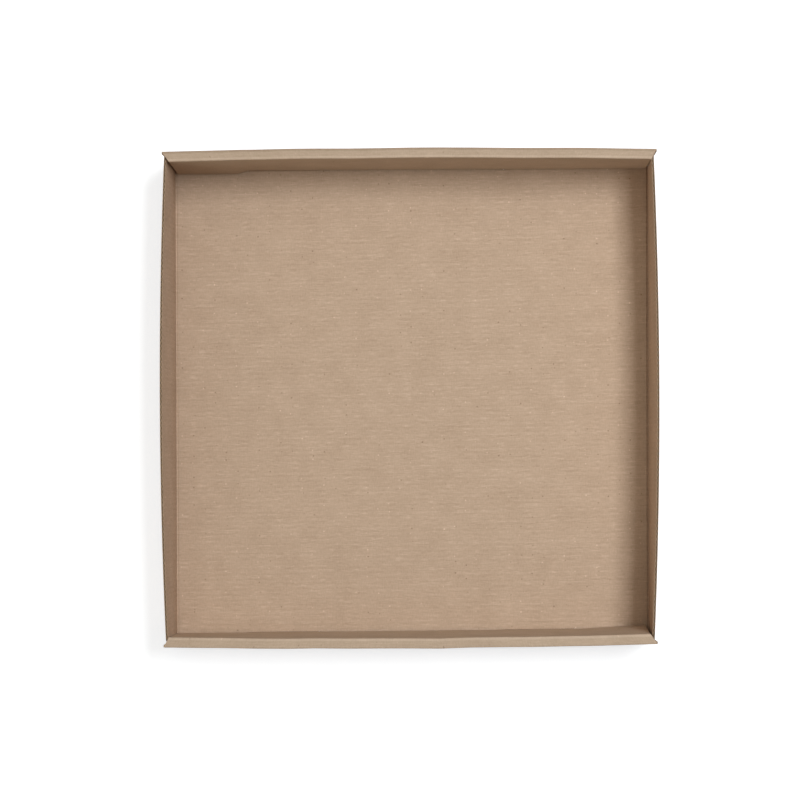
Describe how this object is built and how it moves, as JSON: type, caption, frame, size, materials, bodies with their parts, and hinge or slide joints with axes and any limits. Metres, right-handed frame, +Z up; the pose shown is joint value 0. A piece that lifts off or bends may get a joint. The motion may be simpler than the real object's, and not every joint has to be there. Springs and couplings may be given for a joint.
{
  "type": "corrugated cardboard tray",
  "caption": "Open shallow square tray folded from a kraft corrugated blank, with rolled-over double walls front and back and single walls between; carries catered food.",
  "frame": {"origin": "centre of the floor's underside", "axes": "+Z up out of the tray, +X along the board's flutes towards the right single wall, +Y towards the back double wall"},
  "size_m": [0.3096, 0.3102, 0.05],
  "materials": {
    "kraft_board": "matt uncoated brown kraft"
  },
  "bodies": {
    "root": {"tray": "kraft_board"}
  },
  "joints": []
}
